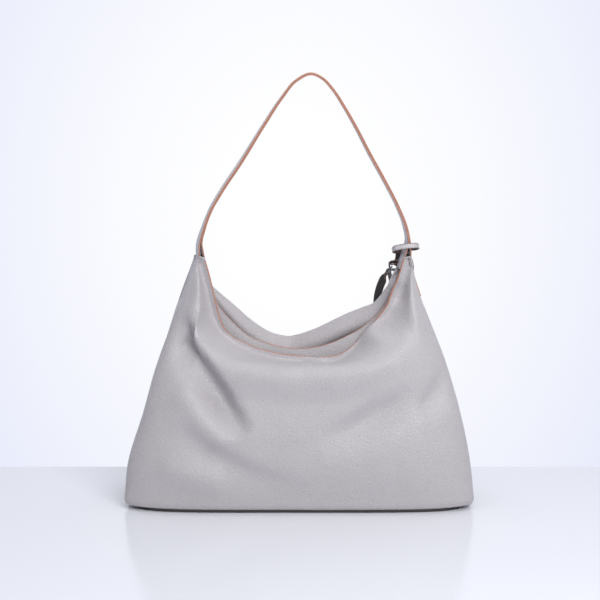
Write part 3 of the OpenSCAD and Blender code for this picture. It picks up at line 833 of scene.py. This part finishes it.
# ---------------------------------------------------------------- strap
STRAP_HALF = 13
STRAP_TOP = 497
STRAP_PLY = 1.65
STITCH_INSET = 2.6
STRAP_NEAR = ((-109, 317), (-102, 337), (-88, 361.5), (-67.5, 392), (-39, 438), (-19, 468.5), (-3, 487.5),
              (14, 495), (27, 489.5), (37.5, 478.5), (52, 457), (64, 436.5), (81, 404.5), (97.5, 375),
              (115, 341), (123.3, 320))
OUTER_LEFT = ((-114.7, 285), (-114.5, 292), (-114.2, 300))
OUTER_RIGHT = ((127.9, 301), (128.5, 293), (128.6, 285))
INNER_LEFT = ((-106.6, 272), (-107.9, 279), (-109.2, 286), (-110.4, 293), (-111.6, 301))
INNER_RIGHT = ((126.0, 302), (124.0, 294), (121.8, 287), (119.4, 280), (117.2, 272))


def tab_near(side):
    """The near edge of an outer tab, from its lower end up to the tip: just behind the front seam."""
    z = np.array((240, 250, 260, 270, 279))
    return [(float(side * (side_x(side, q) - 0.7)), float(q)) for q in z]


def ply(name, left, right, offset, nodes):
    """One ply of the strap: down one tip, over the arch and down the other tip, as one strip."""
    arch = np.array(STRAP_NEAR, float)
    slope = unit(np.gradient(arch, axis=0))
    arch = arch + np.stack([-slope[:, 1], slope[:, 0]], axis=1) * offset
    route = np.concatenate([np.array(left, float), arch, np.array(right, float)])
    reach = reach_along(route)
    near = through(reach, route, np.linspace(0, reach[-1], 420))
    x, z = near[:, 0], near[:, 1]
    side = np.where(x < 15, -1, 1)
    half = STRAP_HALF - 1.5 * smoothstep(292, 284, z)
    turn = np.where(side < 0, lean(z, -1), lean(z, 1)) / 24
    turn = turn * np.clip((STRAP_TOP - z) / 110, 0, 1) * (1 - 0.5 * smoothstep(TIP_Z, 340, z))
    turn += 0.004 * np.sin(z / 31) * (z > 300)
    across = np.stack([-np.sin(turn), np.cos(turn), 0 * turn], axis=1)
    start = np.stack([x, -half, z], axis=1)
    centre = start + across * half[:, None]
    centre[:, 1] = 0
    along = unit(np.gradient(centre, axis=0))
    across = unit(across - along * np.sum(across * along, axis=1, keepdims=True))
    normal = np.cross(across, along)
    piece = strip(name, centre, across, normal, half, STRAP_PLY,
                  [mats["strap"], mats["strap"], mats["paint"]])
    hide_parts(*nodes)
    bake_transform(piece)
    return centre, across, normal, half


def build_strap():
    """Both plies, and the stitches round the lower end of each outer tab."""
    left, right = tab_near(-1) + list(OUTER_LEFT), list(OUTER_RIGHT) + tab_near(1)[::-1]
    centre, across, normal, half = ply("strap_outer_leather", left, right, 0.8,
                                       ("strap_outer_ply", "tab_left_outer", "tab_right_outer"))
    ply("strap_inner_leather", INNER_LEFT, INNER_RIGHT, -0.8,
        ("strap_inner_ply", "tab_left_inner", "tab_right_inner"))
    for side, name in ((-1, "left"), (1, "right")):
        pick = (centre[:, 0] * side > 0) & (centre[:, 2] < 283)
        c, a, n, h = centre[pick], across[pick], normal[pick], half[pick]
        rows = []
        for k, edge in enumerate((-1, 1)):
            path = c + a * edge * (h[:, None] - STITCH_INSET) + n * (STRAP_PLY / 2)
            rows.append(stitch_row(f"tab_row_{name}_{k}", path, n))
        step = 4 if c[0, 2] < c[-1, 2] else -5
        span = np.linspace(-1, 1, 12)[:, None]
        path = c[step] + a[step] * span * (h[step] - STITCH_INSET) + n[step] * (STRAP_PLY / 2)
        rows.append(stitch_row(f"tab_end_{name}", path, np.repeat(n[step][None], 12, axis=0)))
        finish_piece(join(f"tab_stitching_{name}", rows), "bag", "taupe_leather")


# ---------------------------------------------------------------- leash
BAND = (123.0, 0.0, 295.2)
BAND_HALF = (13.6, 14.6)
BAND_HEIGHT = 6.6
EYE = (104.0, 27.4, 263.5)
LEASH_X = (0.788, 0.0, -0.616)
LOOP_DOWN = (0.065, 0.394, -0.917)
BAR = (0.308, 0.866, 0.394)


def closed_path(points, count):
    """Smooth closed curve through points, without its repeated last point."""
    ring = np.array(points + points[:1], float)
    reach = reach_along(ring)
    wide = np.concatenate([ring[-4:-1], ring, ring[1:4]])
    at = np.concatenate([reach[-4:-1] - reach[-1], reach, reach[1:4] + reach[-1]])
    return through(at, wide, np.linspace(0, reach[-1], count + 1)[:-1])


def open_path(points, count):
    ring = np.array(points, float)
    reach = reach_along(ring)
    return through(reach, ring, np.linspace(0, reach[-1], count))


def build_band():
    """The leash's band round the strap: a strip bent to a rounded rectangle, lower at its back."""
    bx, by = BAND_HALF
    corner = 4.5
    ring = []
    for cx, cy, start in ((bx, by, 0), (-bx, by, 90), (-bx, -by, 180), (bx, -by, 270)):
        for a in (0, 30, 60, 90):
            q = math.radians(start + a)
            ring.append((cx - math.copysign(corner, cx) + corner * math.cos(q),
                         cy - math.copysign(corner, cy) + corner * math.sin(q), 0))
    path = closed_path(ring, 120)
    path = np.concatenate([path, path[:1]])
    tilt_x, tilt_y = math.radians(-12), math.radians(-8)
    cos, sin = math.cos, math.sin
    rot_x = np.array([[1, 0, 0], [0, cos(tilt_x), -sin(tilt_x)], [0, sin(tilt_x), cos(tilt_x)]])
    rot_y = np.array([[cos(tilt_y), 0, sin(tilt_y)], [0, 1, 0], [-sin(tilt_y), 0, cos(tilt_y)]])
    turn = rot_y @ rot_x
    path[:, 2] += 0.5 * np.sin(np.linspace(0, 4 * math.pi, len(path)))
    along = unit(np.roll(path[:-1], -1, axis=0) - np.roll(path[:-1], 1, axis=0))
    along = np.concatenate([along, along[:1]])
    up = np.tile((0.0, 0.0, 1.0), (len(path), 1))
    out = unit(np.cross(along, up))
    path, up, out = path @ turn.T + BAND, up @ turn.T, out @ turn.T
    piece = strip("leash_band_leather", path, up, out, BAND_HEIGHT / 2, 1.8,
                  [mats["strap"], mats["dark"], mats["brown_edge"]])
    finish_piece(piece, "bag", "taupe_leather", "leash_band")
    rows = [stitch_row(f"band_row_{k}", path + up * edge * 2.0 + out * 0.9, out, 2.6, 1.8, 0.3)
            for k, edge in enumerate((-1, 1))]
    finish_piece(join("leash_band_stitching", rows), "bag", "taupe_leather")


def build_tail():
    """The tail hangs from the band, shows its dark side and folds round the hook's ring."""
    points = [(117.5, 15.6, 296), (116.8, 16.8, 290), (115.0, 17.4, 283.5), (113.4, 17.6, 278.5),
              (112.6, 17.6, 275.2), (113.2, 18.9, 272.6), (113.9, 20.6, 274.6), (115.2, 20.2, 279),
              (116.6, 19.4, 285)]
    path = open_path(points, 90)
    along = unit(np.gradient(path, axis=0))
    s = np.linspace(0, 1, 90)
    t = smoothstep(0, 0.4, s)[:, None]
    across = unit(np.array((1.0, 0.15, -0.1)) * (1 - t) + np.array(LEASH_X) * t)
    across = unit(across - along * np.sum(across * along, axis=1, keepdims=True))
    normal = np.cross(across, along)
    half = 4.2 - 2.0 * smoothstep(0.15, 0.45, s) + 1.0 * smoothstep(0.7, 1, s)
    piece = strip("leash_tail_leather", path, across, normal, half, 1.5,
                  [mats["strap"], mats["dark"], mats["brown_edge"]])
    finish_piece(piece, "bag", "dark_leather", "leash_tail")


def build_keeper():
    """A short strip folded back on itself beside the tail: it keeps the ring from sliding."""
    points = [(119.5, 14.6, 281.0), (115, 14.4, 279.6), (110, 14.6, 278.4), (106.6, 15.2, 277.4),
              (105.4, 15.8, 276.0), (106.4, 16.3, 274.6), (109.4, 16.8, 274.2), (113.2, 17.2, 275.4)]
    path = open_path(points, 80)
    along = unit(np.gradient(path, axis=0))
    across = np.tile((0.1, 0.97, -0.2), (80, 1))
    across = unit(across - along * np.sum(across * along, axis=1, keepdims=True))
    piece = strip("leash_keeper_leather", path, across, np.cross(across, along), 3.4, 1.5,
                  [mats["strap"], mats["dark"], mats["brown_edge"]])
    finish_piece(piece, "bag", "taupe_leather")


def build_loop():
    """The wrist loop: a long closed strip that hangs behind the bag, turned so that one leg faces forward."""
    eye, down = np.array(EYE), np.array(LOOP_DOWN)
    side = unit(np.cross(down, BAR))
    if side[0] < 0:
        side = -side
    legs = [(-2.2, 0.6), (-2.9, 4.0), (-5.6, 9.5), (-9.5, 19), (-13.5, 33), (-15.6, 50), (-16.4, 70),
            (-15.6, 88), (-13.0, 104), (-8.5, 116), (0, 122), (8.5, 117), (13.5, 105), (15.0, 88), (14.0, 68),
            (11.0, 48), (7.5, 32), (5.0, 19), (3.2, 9), (2.3, 3.0), (1.6, -1.2), (0, -2.3), (-1.6, -1.2)]
    ring = [tuple(eye + side * a + down * b) for a, b in legs]
    path = closed_path(ring, 260)
    path = np.concatenate([path, path[:1]])
    along = unit(np.roll(path[:-1], -1, axis=0) - np.roll(path[:-1], 1, axis=0))
    along = np.concatenate([along, along[:1]])
    s = np.linspace(0, 1, len(path))[:, None]
    turn = np.radians(74) * smoothstep(0.0, 0.05, s) * smoothstep(0.50, 0.36, s)
    bar = np.tile(BAR, (len(path), 1))
    bar = unit(bar - along * np.sum(bar * along, axis=1, keepdims=True))
    out = np.cross(bar, along)
    across = bar * np.cos(turn) + out * np.sin(turn)
    normal = np.cross(across, along)
    piece = strip("wrist_loop_leather", path, across, normal, 4.9, 2.0,
                  [mats["dark"], mats["dark"], mats["brown_edge"]])
    finish_piece(piece, "wrist_loop", "dark_leather", "wrist_loop")


# ---------------------------------------------------------------- inner pockets
def pocket_ply(name, half, low, high, seam, belly, sag):
    """A fabric ply sewn down at its sides and foot: it stands off its seam in the middle and its top sags."""
    u, v = np.linspace(-1, 1, 90)[:, None], np.linspace(0, 1, 50)[None, :]
    stand = (1 - u**6) * smoothstep(0, 0.22, v)
    wave = 0.35 * np.sin(9 * u + 1.2) * stand * v
    y = seam + (belly - seam) * stand + wave * np.sign(belly - seam)
    z = low + (high - low) * v - sag * (1 - u**2) * v**3
    grid = np.stack(np.broadcast_arrays(half * u, y, z), axis=2)
    ply_piece = shell(name, grid, 0.8, [mats["lining"]] * 3)
    hem = grid[3:-3, -5]
    row = stitch_row(name + "_hem", hem, np.tile((0.0, -1.0, 0.0), (len(hem), 1)), 3.4, 2.3, 0.22)
    return join(name, [ply_piece, row])


def build_pockets():
    """The slip pocket on the front, the zipped pocket's leather wall and fabric bag, and its pull tab."""
    front = pocket_ply("slip_pocket_ply", 70, 14.5, 111.5, -48.4, -44.2, 2.5)
    finish_piece(front, "bag", "lining_fabric", "slip_pocket")
    finish_piece(pocket_ply("slip_pocket_back", 70, 14.5, 111.5, -49.7, -49.7, 0), "bag", "lining_fabric")
    bag = pocket_ply("zip_pocket_bag", 101.5, 14.5, 112.5, 52.6, 57.4, 0)
    finish_piece(bag, "bag", "lining_fabric", "zip_pocket_lining")
    window = np.array([(0, 96), (-88, 96), (-88, 108), (88, 108), (88, 96), (0, 96)], float)
    border = np.array([(0, 12.5), (-104, 12.5), (-104, 114), (104, 114), (104, 12.5), (0, 12.5)], float)
    steps = (24, 14, 48, 14, 24)
    t = [np.linspace(k, k + 1, n, endpoint=False) for k, n in enumerate(steps)]
    t = np.concatenate(t + [[len(steps)]])
    near = np.stack([np.interp(t, range(6), window[:, k]) for k in (0, 1)], axis=1)
    far = np.stack([np.interp(t, range(6), border[:, k]) for k in (0, 1)], axis=1)
    v = np.array((0, 0.04, 0.14, 0.4, 0.7, 0.9, 1.0))[None, :, None]
    flat = near[:, None] * (1 - v) + far[:, None] * v
    grid = np.stack([flat[..., 0], 48.0 + 0 * flat[..., 0], flat[..., 1]], axis=2)
    # The zipped pocket's wall wears the lightened inside leather on both faces: painted light.
    piece = shell("zip_wall_leather", grid, 1.4, [mats["inside"], mats["inside"], mats["paint"]], ("v0",))
    finish_piece(piece, "bag", "taupe_leather", "zip_pocket_wall")
    fold = ((43.2, 86.5), (43.2, 78), (43.3, 70), (43.7, 66), (44.6, 64.8), (45.5, 66), (45.9, 70),
            (46.0, 78), (46.0, 86.5))
    path = open_path([(77, y, z) for y, z in fold], 90)
    along = unit(np.gradient(path, axis=0))
    across = np.tile((1.0, 0.0, 0.0), (90, 1))
    piece = strip("pull_tab_leather", path, across, np.cross(across, along), 3.3, 1.3,
                  [mats["strap"], mats["strap"], mats["paint"]])
    finish_piece(piece, "zip_pull", "taupe_leather", "pull_tab")


METAL_NODES = ("hook_body", "hook_gate", "gate_pin", "zip_teeth", "zip_stops", "zip_slider", "zip_pull",
               "snap_stud", "snap_socket", "snap_washers")


def dress_cad():
    """The CAD pieces that stay get their own materials."""
    for key in METAL_NODES:
        dress(key, "metal")
    dress("zip_tapes", "lining")
    dress("base_board", "board")


def dress(node, material):
    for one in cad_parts[node].material_slots:
        one.material = mats[material]


make_stage()
make_materials()
build_walls()
build_gussets()
build_base()
build_pouch()
build_strap()
build_band()
build_tail()
build_keeper()
build_loop()
build_pockets()
dress_cad()
